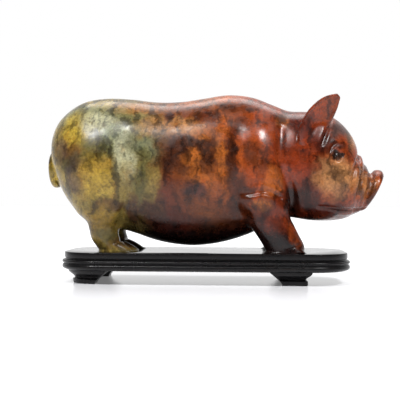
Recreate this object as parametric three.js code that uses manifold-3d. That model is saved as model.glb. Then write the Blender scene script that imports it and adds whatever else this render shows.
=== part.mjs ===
// A pig carved from one piece of soapstone, standing in its fitted, black-lacquered hardwood stand.
// Millimetres, +Z up. The pig's head points along +X and its right flank faces -Y. The origin lies on
// the surface that the stand stands on, under the middle of the pig's length.
import * as THREE from "three";
import { mergeVertices } from "three/addons/utils/BufferGeometryUtils.js";
import Module from "manifold-3d";

const wasm = await Module();
wasm.setup();

// Driving size of the pig. Its carving keeps its proportions, as hundredths of about this length.
const PIG_LENGTH = 182.2; // from the curl of the tail to the rim of the snout

// Driving sizes of the fit between the two
const SOCKET_DEPTH = 1.0; // how far the pig's feet are let into the stand
const SOCKET_CLEARANCE = 0.6; // between a foot and the wall of its socket

// Driving sizes of the stand
const TAIL_MARGIN = 20.0; // the stand reaches this far past the hind feet
const HEAD_MARGIN = 24.2; // and this far past the forefeet
const SIDE_MARGIN = 4.2; // and this far past the outside of the forefeet
const CORNER_RADIUS = 21.0; // of the stand's outline, at its widest moulding
const PLATE_THICKNESS = 3.4; // the flat top moulding
const PLATE_SETBACK = 1.3; // of the plate behind the widest moulding
const GROOVE_HEIGHT = 0.6; // the dark channel under the plate
const GROOVE_SETBACK = 2.6;
const UPPER_BEAD = 1.9; // heights of the two half-round beads
const LOWER_BEAD = 2.7;
const BEAD_BULGE = 1.3; // how far they stand out
const BEAD_GAP = 0.3;
const COVE_HEIGHT = 0.65; // the small hollow down to the underside
const COVE_SETBACK = 1.6;
const EDGE_ROUND = 0.35; // the softened edges of the plate
const FOOT_HEIGHT = 7.05; // from the floor to the underside of the board
const TAIL_FOOT_LENGTH = 23.4; // of the bracket feet along the stand, at their top
const HEAD_FOOT_LENGTH = 22.0;
const FOOT_WIDTH = 17.5; // across the stand, at its top
const FOOT_WAIST = 3.3; // how far a foot's outer face draws in over its pad
const FOOT_PAD_SETBACK = 2.2; // of the pad behind the top of the foot
const FOOT_TAPER = 6.6; // how far its inner face slopes in towards the pad
const FOOT_PAD = 2.6; // height of the pad under the waist
const FOOT_INSET = 3.2; // the feet behind the stand's outline
const HEAD_FOOT_INSET = 21.0; // the front pair, from the head end

// Finishes
const STONE_COLOUR = 0x9a5a30;
const STONE_ROUGHNESS = 0.3;
const LACQUER_COLOUR = 0x17171a;
const LACQUER_ROUGHNESS = 0.35;

// Worked out from the values above
const FULL_TURN = 2 * Math.PI;
const BEADS_HEIGHT = UPPER_BEAD + BEAD_GAP + LOWER_BEAD;
const BOARD_THICKNESS = PLATE_THICKNESS + GROOVE_HEIGHT + BEADS_HEIGHT + COVE_HEIGHT;
const STAND_HEIGHT = FOOT_HEIGHT + BOARD_THICKNESS;
const CUT_MARGIN = 1; // how far a cutting tool runs past the face that it cuts
const SIDES = [-1, 1]; // the pig's right, towards -Y, and its left

// Solids and meshes

function solid(geometry) {
  const bare = geometry.index ? geometry.toNonIndexed() : geometry.clone();
  bare.deleteAttribute("normal");
  bare.deleteAttribute("uv");
  const merged = mergeVertices(bare, 1e-5);
  return new wasm.Manifold(new wasm.Mesh({
    numProp: 3,
    vertProperties: merged.attributes.position.array,
    triVerts: new Uint32Array(merged.index.array),
  }));
}

function piece(shape, name, colour, roughness) {
  const { vertProperties, triVerts } = shape.getMesh();
  const geometry = new THREE.BufferGeometry();
  geometry.setAttribute("position", new THREE.BufferAttribute(vertProperties, 3));
  geometry.setIndex(new THREE.BufferAttribute(triVerts, 1));
  geometry.computeVertexNormals();
  const material = new THREE.MeshStandardMaterial({ color: colour, roughness, metalness: 0 });
  const mesh = new THREE.Mesh(geometry, material);
  mesh.name = name;
  return mesh;
}

const join = (shapes) => shapes.reduce((sum, shape) => sum.add(shape));
const cut = (body, tools) => tools.reduce((rest, tool) => rest.subtract(tool), body);

// A closed skin over rings of equally many points, with a flat fan over each end. The rings follow
// one another so that each turns anticlockwise when seen from the end that the loft runs to.
function loft(rings) {
  const count = rings[0].length;
  const middle = (ring) => ring.reduce((sum, p) => sum.add(p), new THREE.Vector3()).divideScalar(count);
  const points = [...rings.flat(), middle(rings[0]), middle(rings[rings.length - 1])];
  const first = points.length - 2;
  const last = points.length - 1;
  const top = (rings.length - 1) * count;
  const faces = [];
  for (let i = 0; i < count; i += 1) {
    const next = (i + 1) % count;
    for (let r = 0; r < rings.length - 1; r += 1) {
      const low = r * count;
      const high = low + count;
      faces.push(low + i, low + next, high + next, low + i, high + next, high + i);
    }
    faces.push(first, next, i, last, top + i, top + next);
  }
  const geometry = new THREE.BufferGeometry();
  const numbers = points.flatMap((p) => p.toArray());
  geometry.setAttribute("position", new THREE.Float32BufferAttribute(numbers, 3));
  geometry.setIndex(faces);
  return geometry;
}

// The tail is a rope that curls up flat against the rump
const TAIL = { up: 23.1, behind: 2.35, lean: 0.04, radius: 4.6, rope: 1.6, turns: 1.35, arcs: 4 };

// The pig's own measure: along from its tail, sideways from its middle and up from the stand's top.
// The snout's rim is at 100 along, and the tail's curl reaches back to just over 0.
const SNOUT_TIP = 100;
const TAIL_TIP = TAIL.behind - TAIL.rope - TAIL.lean * TAIL.radius;
const share = (part) => (part * PIG_LENGTH) / (SNOUT_TIP - TAIL_TIP);
const MIDDLE = (SNOUT_TIP + TAIL_TIP) / 2;
function spot(along, side, up) {
  return new THREE.Vector3(share(along - MIDDLE), share(side), STAND_HEIGHT + share(up));
}
const softPower = (value, power) => Math.sign(value) * Math.abs(value) ** power;

// Trunk, neck and head, from rump to snout. Each station has the top and bottom of a cross-section,
// both as along and up, and its half-width. Towards the snout the sections lean forward.
const STATIONS = [
  [1.3, 30.4, 1.6, 26.6, 2.0],
  [1.6, 34.4, 2.1, 23.4, 6.2],
  [3.2, 38.1, 3.5, 19.9, 9.6],
  [5.6, 40.9, 5.7, 16.3, 12.0],
  [8.9, 43.3, 8.8, 12.8, 13.8],
  [13.0, 44.9, 12.6, 9.8, 15.0],
  [19.0, 45.5, 18.4, 7.2, 15.5],
  [26.0, 45.1, 25.0, 5.5, 15.9],
  [33.0, 44.3, 33.0, 2.9, 16.2],
  [40.0, 44.4, 40.0, 1.7, 16.4],
  [47.0, 45.4, 46.0, 1.6, 16.3],
  [54.0, 46.4, 53.0, 2.7, 15.8],
  [61.0, 45.7, 60.0, 4.9, 15.2],
  [67.0, 43.5, 66.5, 8.0, 14.3],
  [72.0, 41.6, 71.5, 9.9, 13.0],
  [77.0, 41.4, 76.5, 9.8, 12.9],
  [82.0, 40.9, 81.0, 9.1, 12.7],
  [86.4, 38.8, 84.8, 9.1, 12.0],
  [89.8, 35.3, 87.6, 9.5, 10.4],
  [91.8, 31.5, 89.6, 10.1, 8.9],
  [92.3, 28.8, 90.4, 10.6, 7.7],
  [93.4, 28.2, 91.1, 10.9, 7.8],
  [94.1, 26.1, 91.8, 11.2, 7.1],
  [95.0, 25.2, 92.5, 11.5, 7.2],
  [96.1, 23.0, 93.2, 11.9, 6.3],
  [97.5, 24.1, 93.7, 12.0, 6.7],
  [99.3, 24.0, 94.6, 12.5, 6.9],
  [100.0, 22.8, 95.6, 14.0, 6.5],
];
const TRUNK_SIDES = 28;
const BELLY_FULLNESS = 0.06; // the sections are this much wider below than above
const SECTION_SQUARENESS = 0.94;

function trunkRing([topAlong, topUp, bottomAlong, bottomUp, halfWidth], sides) {
  return Array.from({ length: sides }, (_, i) => {
    const turn = (FULL_TURN * i) / sides;
    const rise = softPower(Math.sin(turn), SECTION_SQUARENESS);
    const width = softPower(Math.cos(turn), SECTION_SQUARENESS) * (1 - BELLY_FULLNESS * rise);
    const along = (topAlong + bottomAlong + (topAlong - bottomAlong) * rise) / 2;
    const up = (topUp + bottomUp + (topUp - bottomUp) * rise) / 2;
    return spot(along, width * halfWidth, up);
  });
}

function trunk() {
  return solid(loft(STATIONS.map((station) => trunkRing(station, TRUNK_SIDES))));
}

// A place on the trunk's surface, found on its densely drawn skin from along, up and the side
const SKIN = STATIONS.slice(1).flatMap((station, i) => [0, 0.25, 0.5, 0.75].flatMap((part) => {
  const between = STATIONS[i].map((value, k) => value + (station[k] - value) * part);
  return trunkRing(between, 96);
}));
function onSkin(along, up, side, proud = 0) {
  const wanted = spot(along, 0, up);
  const gap = (p) => Math.hypot(p.x - wanted.x, p.z - wanted.z);
  const outer = SKIN.filter((p) => p.y * side > 0);
  const nearest = outer.reduce((best, p) => (gap(p) < gap(best) ? p : best));
  return new THREE.Vector3(wanted.x, nearest.y + side * share(proud), wanted.z);
}

// A swelling of the carving: an egg at a place, with its three half-sizes and its lean in degrees
function swelling(along, side, up, [length, width, height], lean = 0, fineness = 18) {
  const egg = new THREE.SphereGeometry(1, fineness, Math.round(fineness * 0.6));
  egg.scale(share(length), share(width), share(height));
  egg.rotateY(THREE.MathUtils.degToRad(lean));
  const centre = spot(along, side, up);
  egg.translate(centre.x, centre.y, centre.z);
  return solid(egg);
}

function haunch(side) {
  return swelling(17.6, side * 6.4, 22.8, [11.6, 10.2, 14.6], -6);
}

function shoulder(side) {
  return swelling(62.4, side * 6.5, 24.0, [9.4, 10.0, 15.6], -5);
}

function cheek(side) {
  return swelling(85.2, side * 5.2, 19.8, [8.0, 7.3, 8.6], 10, 16);
}

function jowl(side) {
  return swelling(78.4, side * 5.4, 17.0, [9.0, 6.8, 7.4], 0, 16);
}

// A thin crease cut into the skin along a line of places, each as along and up
const CREASE_ARCS = 3; // half the number of its sides
function crease(places, side, radius, proud = 0) {
  const line = places.map(([along, up]) => onSkin(along, up, side, proud));
  const path = new THREE.CatmullRomCurve3(line);
  const section = new THREE.Shape();
  section.absarc(0, 0, share(radius), 0, FULL_TURN);
  return solid(new THREE.ExtrudeGeometry(section, {
    steps: 2 * places.length,
    curveSegments: CREASE_ARCS,
    extrudePath: path,
  }));
}

const mouth = (side) => crease([[95.0, 13.2], [91.0, 12.4], [86.0, 12.6], [82.0, 13.4]], side, 0.6);
const elbowFold = (side) => crease([[60.0, 17.6], [63.0, 18.0], [66.6, 16.8]], side, 0.45, 0.6);

// Legs. Each section has its height, its middle as along and side, and its two half-sizes.
const HIND_LEG = [
  [20.0, 17.6, 8.2, 7.6, 6.4],
  [13.0, 16.8, 8.4, 6.6, 5.8],
  [9.0, 17.8, 8.1, 4.7, 4.6],
  [6.6, 17.8, 7.8, 4.2, 4.0],
  [3.6, 18.5, 7.5, 4.2, 3.8],
  [0.3, 21.3, 7.4, 4.7, 3.6],
];
const FORE_LEG = [
  [21.0, 63.0, 9.0, 7.6, 6.0],
  [14.0, 64.2, 10.2, 7.4, 5.4],
  [9.6, 65.8, 10.8, 6.7, 4.8],
  [5.5, 68.3, 11.1, 6.1, 4.3],
  [2.4, 70.1, 11.1, 5.9, 4.0],
  [0.3, 70.6, 11.1, 5.5, 3.8],
];
const LEG_SIDES = 16;
const FEET = [
  {
    leg: HIND_LEG, along: 22.3, out: 7.3, length: 5.9, width: 3.9,
    toes: [[22.9, 9.1, 3.8], [24.5, 5.5, 3.7]],
  },
  {
    leg: FORE_LEG, along: 70.4, out: 11.1, length: 6.0, width: 4.0,
    toes: [[72.2, 13.0, 4.2], [72.4, 9.2, 4.1]],
  },
];
const TOE_WIDTH = 1.95; // half of it, beside the cleft of the hoof
const SOLE_GAP = 0.2; // the toes end this far above the stand, over the sole that is let into it
const FOOT_SQUARENESS = 0.8;

function oval(along, side, up, length, width, sides, squareness = 1) {
  return Array.from({ length: sides }, (_, i) => {
    const turn = (FULL_TURN * i) / sides;
    const ahead = softPower(Math.cos(turn), squareness) * length;
    const out = softPower(Math.sin(turn), squareness) * width;
    return spot(along + ahead, side + out, up);
  });
}

function leg(sections, side) {
  const rings = sections.map(([up, along, out, length, width]) => (
    oval(along, side * out, up, length, width, LEG_SIDES)));
  return solid(loft(rings.reverse()));
}

// A toe is low and pointed in front and rises to the fetlock behind
function toe([along, out, length], side) {
  const rises = [[SOLE_GAP, 0, 1], [1.1, -0.7, 0.88], [2.1, -1.6, 0.68], [3.0, -2.5, 0.4]];
  const rings = rises.map(([up, back, size]) => (
    oval(along + back, side * out, up, length * size, TOE_WIDTH * size, LEG_SIDES, 0.9)));
  return solid(loft(rings));
}

// The outline of a foot's sole on the stand, grown by a clearance in millimetres, as a block
function soleBlock(foot, side, grow, bottom, top) {
  const out = side * foot.out;
  const rim = oval(foot.along, out, 0, foot.length, foot.width, 2 * LEG_SIDES, FOOT_SQUARENESS);
  const centre = spot(foot.along, out, 0);
  const grown = (z) => rim.map((p) => {
    const outwards = new THREE.Vector3(p.x - centre.x, p.y - centre.y, 0);
    const reach = outwards.length();
    return new THREE.Vector3(centre.x, centre.y, z).addScaledVector(outwards, (reach + grow) / reach);
  });
  return solid(loft([grown(bottom), grown(top)]));
}

const SOCKET_FLOOR = STAND_HEIGHT - SOCKET_DEPTH;
const sole = (foot, side) => soleBlock(foot, side, 0, SOCKET_FLOOR, STAND_HEIGHT + share(2 * SOLE_GAP));
const socket = (foot, side) => (
  soleBlock(foot, side, SOCKET_CLEARANCE, SOCKET_FLOOR, STAND_HEIGHT + CUT_MARGIN));

// An ear is a cupped leaf. Each section has its middle as along, side and up, and its half-width.
const EAR = [
  [77.0, 8.0, 31.0, 2.4],
  [77.8, 8.8, 34.0, 3.7],
  [79.1, 9.6, 36.9, 3.9],
  [80.7, 10.3, 39.4, 3.6],
  [82.4, 10.8, 41.6, 3.0],
  [84.1, 11.1, 43.4, 2.1],
  [85.7, 11.2, 44.8, 1.0],
];
const EAR_THICKNESS = 1.35; // half of it, at the root
const EAR_CUP = 0.8; // how far its rims stand out past its middle
const EAR_TWIST = 0.44; // it opens forwards: the rim behind stands further out than the one in front
const EAR_SIDES = 14;

function ear(side) {
  const rings = EAR.map(([along, out, up, halfWidth], k) => {
    const before = EAR[Math.max(k - 1, 0)];
    const after = EAR[Math.min(k + 1, EAR.length - 1)];
    const run = new THREE.Vector2(after[0] - before[0], after[2] - before[2]).normalize();
    const thickness = EAR_THICKNESS * (1 - (0.5 * k) / EAR.length);
    return Array.from({ length: EAR_SIDES }, (_, i) => {
      const turn = (FULL_TURN * i) / EAR_SIDES;
      const across = Math.cos(turn);
      const cup = EAR_CUP * across * across * (halfWidth / 4);
      const sideways = side * (out + cup - EAR_TWIST * across * halfWidth) + Math.sin(turn) * thickness;
      return spot(along + run.y * across * halfWidth, sideways, up - run.x * across * halfWidth);
    });
  });
  return solid(loft(rings));
}

function tail() {
  const steps = 26;
  const places = Array.from({ length: steps + 1 }, (_, i) => {
    const part = i / steps;
    const turn = Math.PI / 2 + FULL_TURN * TAIL.turns * part;
    const radius = TAIL.radius * (1 - 0.62 * part);
    const up = Math.sin(turn) * radius;
    return spot(TAIL.behind - TAIL.lean * up, Math.cos(turn) * radius, TAIL.up + up);
  });
  const rope = new THREE.Shape();
  rope.absarc(0, 0, share(TAIL.rope), 0, FULL_TURN);
  const path = new THREE.CatmullRomCurve3(places);
  return solid(new THREE.ExtrudeGeometry(rope, { steps, curveSegments: TAIL.arcs, extrudePath: path }));
}

// The height of a line on the trunk's side that keeps a share of the way from middle to top, at a place
function lineUp(along, rise) {
  const line = STATIONS.map(([topAlong, topUp, bottomAlong, bottomUp]) => [
    (topAlong + bottomAlong + (topAlong - bottomAlong) * rise) / 2,
    (topUp + bottomUp + (topUp - bottomUp) * rise) / 2,
  ]);
  const passed = line.filter(([at]) => at <= along).length;
  const next = THREE.MathUtils.clamp(passed, 1, line.length - 1);
  const [from, to] = [line[next - 1], line[next]];
  return THREE.MathUtils.mapLinear(along, from[0], to[0], from[1], to[1]);
}

// Eyes, brows and nostrils
const EYE = { along: 86.0, rise: 0.24, radius: 1.25 };
const EYE_UP = lineUp(EYE.along, EYE.rise);

function eye(side) {
  const place = onSkin(EYE.along, EYE_UP, side, -0.55);
  const ball = new THREE.SphereGeometry(share(EYE.radius), 12, 8);
  ball.translate(place.x, place.y, place.z);
  return solid(ball);
}

function eyeHollow(side) {
  const place = onSkin(EYE.along, EYE_UP, side, 0.5);
  const hollow = new THREE.SphereGeometry(1, 12, 8);
  hollow.scale(share(2.1), share(1.0), share(1.9));
  hollow.translate(place.x, place.y, place.z);
  return solid(hollow);
}

function brow(side) {
  const place = onSkin(EYE.along - 0.2, EYE_UP + 2.6, side, -0.3);
  const ridge = new THREE.SphereGeometry(1, 12, 6);
  ridge.scale(share(2.6), share(1.0), share(0.9));
  ridge.rotateY(THREE.MathUtils.degToRad(14));
  ridge.translate(place.x, place.y, place.z);
  return solid(ridge);
}

function nostril(side) {
  return swelling(98.5, side * 2.3, 18.4, [1.3, 1.1, 1.7], 20, 12);
}

// The pig, one solid
function pig() {
  const masses = SIDES.flatMap((side) => [haunch(side), shoulder(side), cheek(side), jowl(side)]);
  const limbs = SIDES.flatMap((side) => FEET.flatMap((foot) => [
    leg(foot.leg, side),
    sole(foot, side),
    ...foot.toes.map((place) => toe(place, side)),
  ]));
  const body = join([trunk(), tail(), ...masses, ...limbs]);
  const tools = SIDES.flatMap((side) => [mouth(side), elbowFold(side), eyeHollow(side), nostril(side)]);
  const features = SIDES.flatMap((side) => [ear(side), eye(side), brow(side)]);
  return piece(join([cut(body, tools), ...features]), "pig_carving", STONE_COLOUR, STONE_ROUGHNESS);
}

// The stand, one solid: a moulded board on four bracket feet, cut out for the pig's feet
const [HIND, FORE] = FEET;
const TAIL_END = spot(HIND.along - HIND.length, 0, 0).x - TAIL_MARGIN;
const HEAD_END = spot(FORE.along + FORE.length, 0, 0).x + HEAD_MARGIN;
const HALF_DEPTH = share(FORE.out + FORE.width) + SIDE_MARGIN;
const CORNER_STEPS = 7;

// The board's outline, drawn in by a setback, at a height
function outline(setback, z) {
  const radius = CORNER_RADIUS - setback;
  const corners = [
    [HEAD_END - CORNER_RADIUS, HALF_DEPTH - CORNER_RADIUS, 0],
    [TAIL_END + CORNER_RADIUS, HALF_DEPTH - CORNER_RADIUS, 1],
    [TAIL_END + CORNER_RADIUS, CORNER_RADIUS - HALF_DEPTH, 2],
    [HEAD_END - CORNER_RADIUS, CORNER_RADIUS - HALF_DEPTH, 3],
  ];
  return corners.flatMap(([x, y, quarter]) => Array.from({ length: CORNER_STEPS + 1 }, (_, i) => {
    const turn = (Math.PI / 2) * (quarter + i / CORNER_STEPS);
    return new THREE.Vector3(x + radius * Math.cos(turn), y + radius * Math.sin(turn), z);
  }));
}

// Setbacks and heights of the board's edge, from the underside up
const BEAD_TURNS = [-75, -45, -15, 15, 45, 75]; // the arc of a bead, in degrees from level
function edgeProfile() {
  const coveTop = FOOT_HEIGHT + COVE_HEIGHT;
  const grooveBottom = STAND_HEIGHT - PLATE_THICKNESS - GROOVE_HEIGHT;
  const plateBottom = STAND_HEIGHT - PLATE_THICKNESS;
  const rows = [];
  const coveSteps = 3;
  for (let i = 0; i < coveSteps; i += 1) {
    const turn = ((Math.PI / 2) * i) / coveSteps;
    rows.push([COVE_SETBACK * (2 - Math.sin(turn)), coveTop - COVE_HEIGHT * Math.cos(turn)]);
  }
  const beads = [[coveTop, LOWER_BEAD], [coveTop + LOWER_BEAD + BEAD_GAP, UPPER_BEAD]];
  for (const [bottom, height] of beads) {
    for (const turn of BEAD_TURNS) {
      const angle = THREE.MathUtils.degToRad(turn);
      const rise = (1 + Math.sin(angle) / Math.sin(THREE.MathUtils.degToRad(BEAD_TURNS.at(-1)))) / 2;
      rows.push([(1 - Math.cos(angle)) * BEAD_BULGE, bottom + rise * height]);
    }
  }
  rows.push([GROOVE_SETBACK, grooveBottom], [GROOVE_SETBACK, plateBottom]);
  rows.push([PLATE_SETBACK + EDGE_ROUND, plateBottom], [PLATE_SETBACK, plateBottom + EDGE_ROUND]);
  rows.push([PLATE_SETBACK, STAND_HEIGHT - EDGE_ROUND], [PLATE_SETBACK + EDGE_ROUND, STAND_HEIGHT]);
  return rows;
}

function board() {
  return solid(loft(edgeProfile().map(([setback, z]) => outline(setback, z))));
}

// The setbacks and heights of a foot's outer face, from its top: a cyma that draws in to the waist,
// then a pad with a softened foot
const FACE_STEPS = 4;
function footFace() {
  const cyma = new THREE.CubicBezierCurve(
    new THREE.Vector2(0, FOOT_HEIGHT),
    new THREE.Vector2(0, (FOOT_HEIGHT + FOOT_PAD) / 2),
    new THREE.Vector2(FOOT_WAIST, (FOOT_HEIGHT + FOOT_PAD) / 2),
    new THREE.Vector2(FOOT_WAIST, FOOT_PAD),
  );
  const pad = [
    [FOOT_PAD_SETBACK, FOOT_PAD - EDGE_ROUND],
    [FOOT_PAD_SETBACK, 2 * EDGE_ROUND],
    [FOOT_PAD_SETBACK + EDGE_ROUND, 0],
  ];
  return [...cyma.getPoints(FACE_STEPS), ...pad.map(([setback, z]) => new THREE.Vector2(setback, z))];
}

// A foot's block seen from one side, with its sloping inner face. The face of the front pair that
// looks to the head is shaped here; every other outer face follows the stand's outline.
function footView(outer, inwards, width, shaped) {
  const plain = -CUT_MARGIN - FOOT_INSET;
  const face = shaped ? footFace() : [new THREE.Vector2(plain, FOOT_HEIGHT), new THREE.Vector2(plain, 0)];
  const points = [
    new THREE.Vector2(face[0].x, FOOT_HEIGHT + CUT_MARGIN),
    ...face,
    new THREE.Vector2(width - FOOT_TAPER, 0),
    new THREE.Vector2(width - FOOT_TAPER, FOOT_PAD / 2),
    new THREE.Vector2(width, FOOT_HEIGHT),
    new THREE.Vector2(width, FOOT_HEIGHT + CUT_MARGIN),
  ];
  return new THREE.Shape(points.map((p) => new THREE.Vector2(outer + inwards * p.x, p.y)));
}

const ACROSS = [new THREE.Vector3(1, 0, 0), new THREE.Vector3(0, 0, 1), new THREE.Vector3(0, -1, 0)];
const ALONG = [new THREE.Vector3(0, 1, 0), new THREE.Vector3(0, 0, 1), new THREE.Vector3(1, 0, 0)];
function block(shape, reach, axes) {
  const geometry = new THREE.ExtrudeGeometry(shape, { depth: 2 * reach, bevelEnabled: false });
  geometry.translate(0, 0, -reach);
  return solid(geometry.applyMatrix4(new THREE.Matrix4().makeBasis(...axes)));
}

// All four feet: the blocks in line along the stand, the blocks in line across it and the outer face
// swept round the outline have them in common
function bracketFeet() {
  const tailBlocks = footView(TAIL_END + FOOT_INSET, 1, TAIL_FOOT_LENGTH, false);
  const headBlocks = footView(HEAD_END - HEAD_FOOT_INSET, -1, HEAD_FOOT_LENGTH, true);
  const lengthwise = join([tailBlocks, headBlocks].map((shape) => block(shape, HALF_DEPTH, ACROSS)));
  const sideBlocks = SIDES.map((side) => footView(side * (HALF_DEPTH - FOOT_INSET), -side, FOOT_WIDTH, false));
  const crosswise = join(sideBlocks.map((shape) => block(shape, HEAD_END - TAIL_END, ALONG)));
  const rings = footFace().map((p) => outline(FOOT_INSET + p.x, p.y)).reverse();
  const swept = solid(loft([...rings, outline(FOOT_INSET, FOOT_HEIGHT + CUT_MARGIN)]));
  return lengthwise.intersect(crosswise).intersect(swept);
}

function stand() {
  const sockets = SIDES.flatMap((side) => FEET.map((foot) => socket(foot, side)));
  return piece(cut(board().add(bracketFeet()), sockets), "wooden_stand", LACQUER_COLOUR, LACQUER_ROUGHNESS);
}

const carving = new THREE.Group();
carving.add(pig(), stand());

export default carving;
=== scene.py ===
import math

import bmesh
import bpy
import numpy as np
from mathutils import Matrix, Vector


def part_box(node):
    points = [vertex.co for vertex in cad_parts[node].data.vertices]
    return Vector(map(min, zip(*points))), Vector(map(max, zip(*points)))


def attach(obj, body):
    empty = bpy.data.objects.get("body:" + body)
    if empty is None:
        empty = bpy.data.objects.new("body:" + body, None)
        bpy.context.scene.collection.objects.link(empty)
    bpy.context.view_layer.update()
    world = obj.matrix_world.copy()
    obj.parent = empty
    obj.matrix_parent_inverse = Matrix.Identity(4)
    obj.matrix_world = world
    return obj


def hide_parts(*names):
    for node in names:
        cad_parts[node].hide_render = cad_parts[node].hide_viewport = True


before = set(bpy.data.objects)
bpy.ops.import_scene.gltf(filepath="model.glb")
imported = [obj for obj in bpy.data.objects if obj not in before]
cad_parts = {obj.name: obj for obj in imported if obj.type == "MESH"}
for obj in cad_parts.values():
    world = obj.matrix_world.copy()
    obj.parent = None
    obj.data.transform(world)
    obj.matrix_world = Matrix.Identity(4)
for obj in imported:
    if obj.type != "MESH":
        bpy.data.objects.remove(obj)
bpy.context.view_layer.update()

import openvdb
from mathutils import Matrix, Vector

# The photographer's table: a white, faintly glossy sweep under a high softbox, with white all round
# behind the carving and less light on the camera's side. The camera looks level at the pig's right
# flank from close by, with the head end turned a few degrees nearer.
MM = 0.001
FOCAL_PIXELS = 820
IMAGE_PIXELS = 400
MM_PER_PIXEL = 0.55
CAMERA_HEIGHT = 44.2 * MM
CAMERA_ACROSS = -8.5 * MM
CAMERA_YAW = math.radians(3.3)
CAMERA_ROLL = math.radians(0.2)
CAMERA_DISTANCE = FOCAL_PIXELS * MM_PER_PIXEL * MM
SENSOR_WIDTH = 36

scene = bpy.context.scene
right = Vector((math.cos(CAMERA_YAW), math.sin(CAMERA_YAW), 0))
ahead = Vector((-math.sin(CAMERA_YAW), math.cos(CAMERA_YAW), 0))
up = Vector((0, 0, 1))
eye_point = right * CAMERA_ACROSS - ahead * CAMERA_DISTANCE + up * CAMERA_HEIGHT
rolled_up = up * math.cos(CAMERA_ROLL) - right * math.sin(CAMERA_ROLL)
rolled_right = right * math.cos(CAMERA_ROLL) + up * math.sin(CAMERA_ROLL)
lens = bpy.data.cameras.new("camera")
lens.sensor_width = SENSOR_WIDTH
lens.lens = FOCAL_PIXELS / IMAGE_PIXELS * SENSOR_WIDTH
lens.clip_start = 0.01
camera = bpy.data.objects.new("camera", lens)
camera.matrix_world = Matrix((
    (rolled_right.x, rolled_up.x, -ahead.x, eye_point.x),
    (rolled_right.y, rolled_up.y, -ahead.y, eye_point.y),
    (rolled_right.z, rolled_up.z, -ahead.z, eye_point.z),
    (0, 0, 0, 1),
))
scene.collection.objects.link(camera)
scene.camera = camera
scene.view_settings.view_transform = "Standard"


def softbox(name, place, aim, size, watts):
    """A square or oblong light at a place in metres, turned towards what it lights."""
    light = bpy.data.lights.new(name, "AREA")
    light.shape = "RECTANGLE"
    light.size, light.size_y = size
    light.energy = watts
    lamp = bpy.data.objects.new(name, light)
    lamp.location = place
    lamp.rotation_euler = (Vector(aim) - Vector(place)).to_track_quat("-Z", "Y").to_euler()
    scene.collection.objects.link(lamp)


PIG_MIDDLE = (0.0, 0.0, 0.055)
softbox("left_key", (-0.34, -0.46, 0.72), PIG_MIDDLE, (0.18, 0.18), 4.3)
softbox("middle_key", (-0.15, -0.46, 0.74), PIG_MIDDLE, (0.07, 0.07), 1.0)
softbox("right_key", (0.36, -0.46, 0.72), PIG_MIDDLE, (0.19, 0.19), 5.2)
softbox("overhead_softbox", (0, 0.42, 0.95), PIG_MIDDLE, (0.9, 0.4), 5.5)

# White surroundings behind, dimmer on the camera's side. The camera itself sees plain white.
FRONT_STRENGTH = 0.03
BACK_STRENGTH = 1.0
FULL_FROM = 0.75
world = bpy.data.worlds.new("studio")
scene.world = world
world.use_nodes = True
sky = world.node_tree
sky.nodes.clear()
sky_out = sky.nodes.new("ShaderNodeOutputWorld")
sky_mix = sky.nodes.new("ShaderNodeMixShader")
seen = sky.nodes.new("ShaderNodeBackground")
lit = sky.nodes.new("ShaderNodeBackground")
rays = sky.nodes.new("ShaderNodeLightPath")
direction = sky.nodes.new("ShaderNodeTexCoord")
split = sky.nodes.new("ShaderNodeSeparateXYZ")
fall = sky.nodes.new("ShaderNodeMapRange")
fall.inputs["From Min"].default_value = 0.0
fall.inputs["From Max"].default_value = FULL_FROM
fall.inputs["To Min"].default_value = FRONT_STRENGTH
fall.inputs["To Max"].default_value = BACK_STRENGTH
seen.inputs["Color"].default_value = (1, 1, 1, 1)
lit.inputs["Color"].default_value = (1, 1, 1, 1)
sky.links.new(direction.outputs["Generated"], split.inputs[0])
sky.links.new(split.outputs["Y"], fall.inputs["Value"])
sky.links.new(fall.outputs["Result"], lit.inputs["Strength"])
sky.links.new(rays.outputs["Is Camera Ray"], sky_mix.inputs[0])
sky.links.new(lit.outputs[0], sky_mix.inputs[1])
sky.links.new(seen.outputs[0], sky_mix.inputs[2])
sky.links.new(sky_mix.outputs[0], sky_out.inputs[0])


def new_material(name):
    """A material with a cleared tree, its shader and its nodes and links."""
    material = bpy.data.materials.new(name)
    material.use_nodes = True
    tree = material.node_tree
    tree.nodes.clear()
    out = tree.nodes.new("ShaderNodeOutputMaterial")
    shader = tree.nodes.new("ShaderNodeBsdfPrincipled")
    tree.links.new(shader.outputs[0], out.inputs["Surface"])
    return material, tree, shader


def mesh_object(name, points, faces, material, smooth=True):
    """An object in the scene, from corner points in metres and faces that name them."""
    mesh = bpy.data.meshes.new(name)
    mesh.from_pydata([tuple(p) for p in points], [], [tuple(f) for f in faces])
    mesh.validate()
    mesh.materials.append(material)
    mesh.polygons.foreach_set("use_smooth", [smooth] * len(mesh.polygons))
    thing = bpy.data.objects.new(name, mesh)
    scene.collection.objects.link(thing)
    return thing


# The floor glows with painted light that brightens it to white away from the stand, and is kept dim near
# it as painted shade, as a lit paper sweep looks.
FLOOR_HALF = 4.0
GLOW_FROM, GLOW_TO = 0.10, 0.60
GLOW_NEAR, GLOW_AWAY = 0.15, 0.55
floor_material, tree, shader = new_material("white_sweep")
shader.inputs["Base Color"].default_value = (0.88, 0.88, 0.91, 1)
shader.inputs["Roughness"].default_value = 0.16
shader.inputs["Specular IOR Level"].default_value = 0.22
place = tree.nodes.new("ShaderNodeTexCoord")
reach = tree.nodes.new("ShaderNodeVectorMath")
reach.operation = "LENGTH"
glow = tree.nodes.new("ShaderNodeMapRange")
glow.interpolation_type = "SMOOTHSTEP"
glow.inputs["From Min"].default_value = GLOW_FROM
glow.inputs["From Max"].default_value = GLOW_TO
glow.inputs["To Min"].default_value = GLOW_NEAR
glow.inputs["To Max"].default_value = GLOW_AWAY
tree.links.new(place.outputs["Object"], reach.inputs[0])
tree.links.new(reach.outputs["Value"], glow.inputs["Value"])
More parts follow.
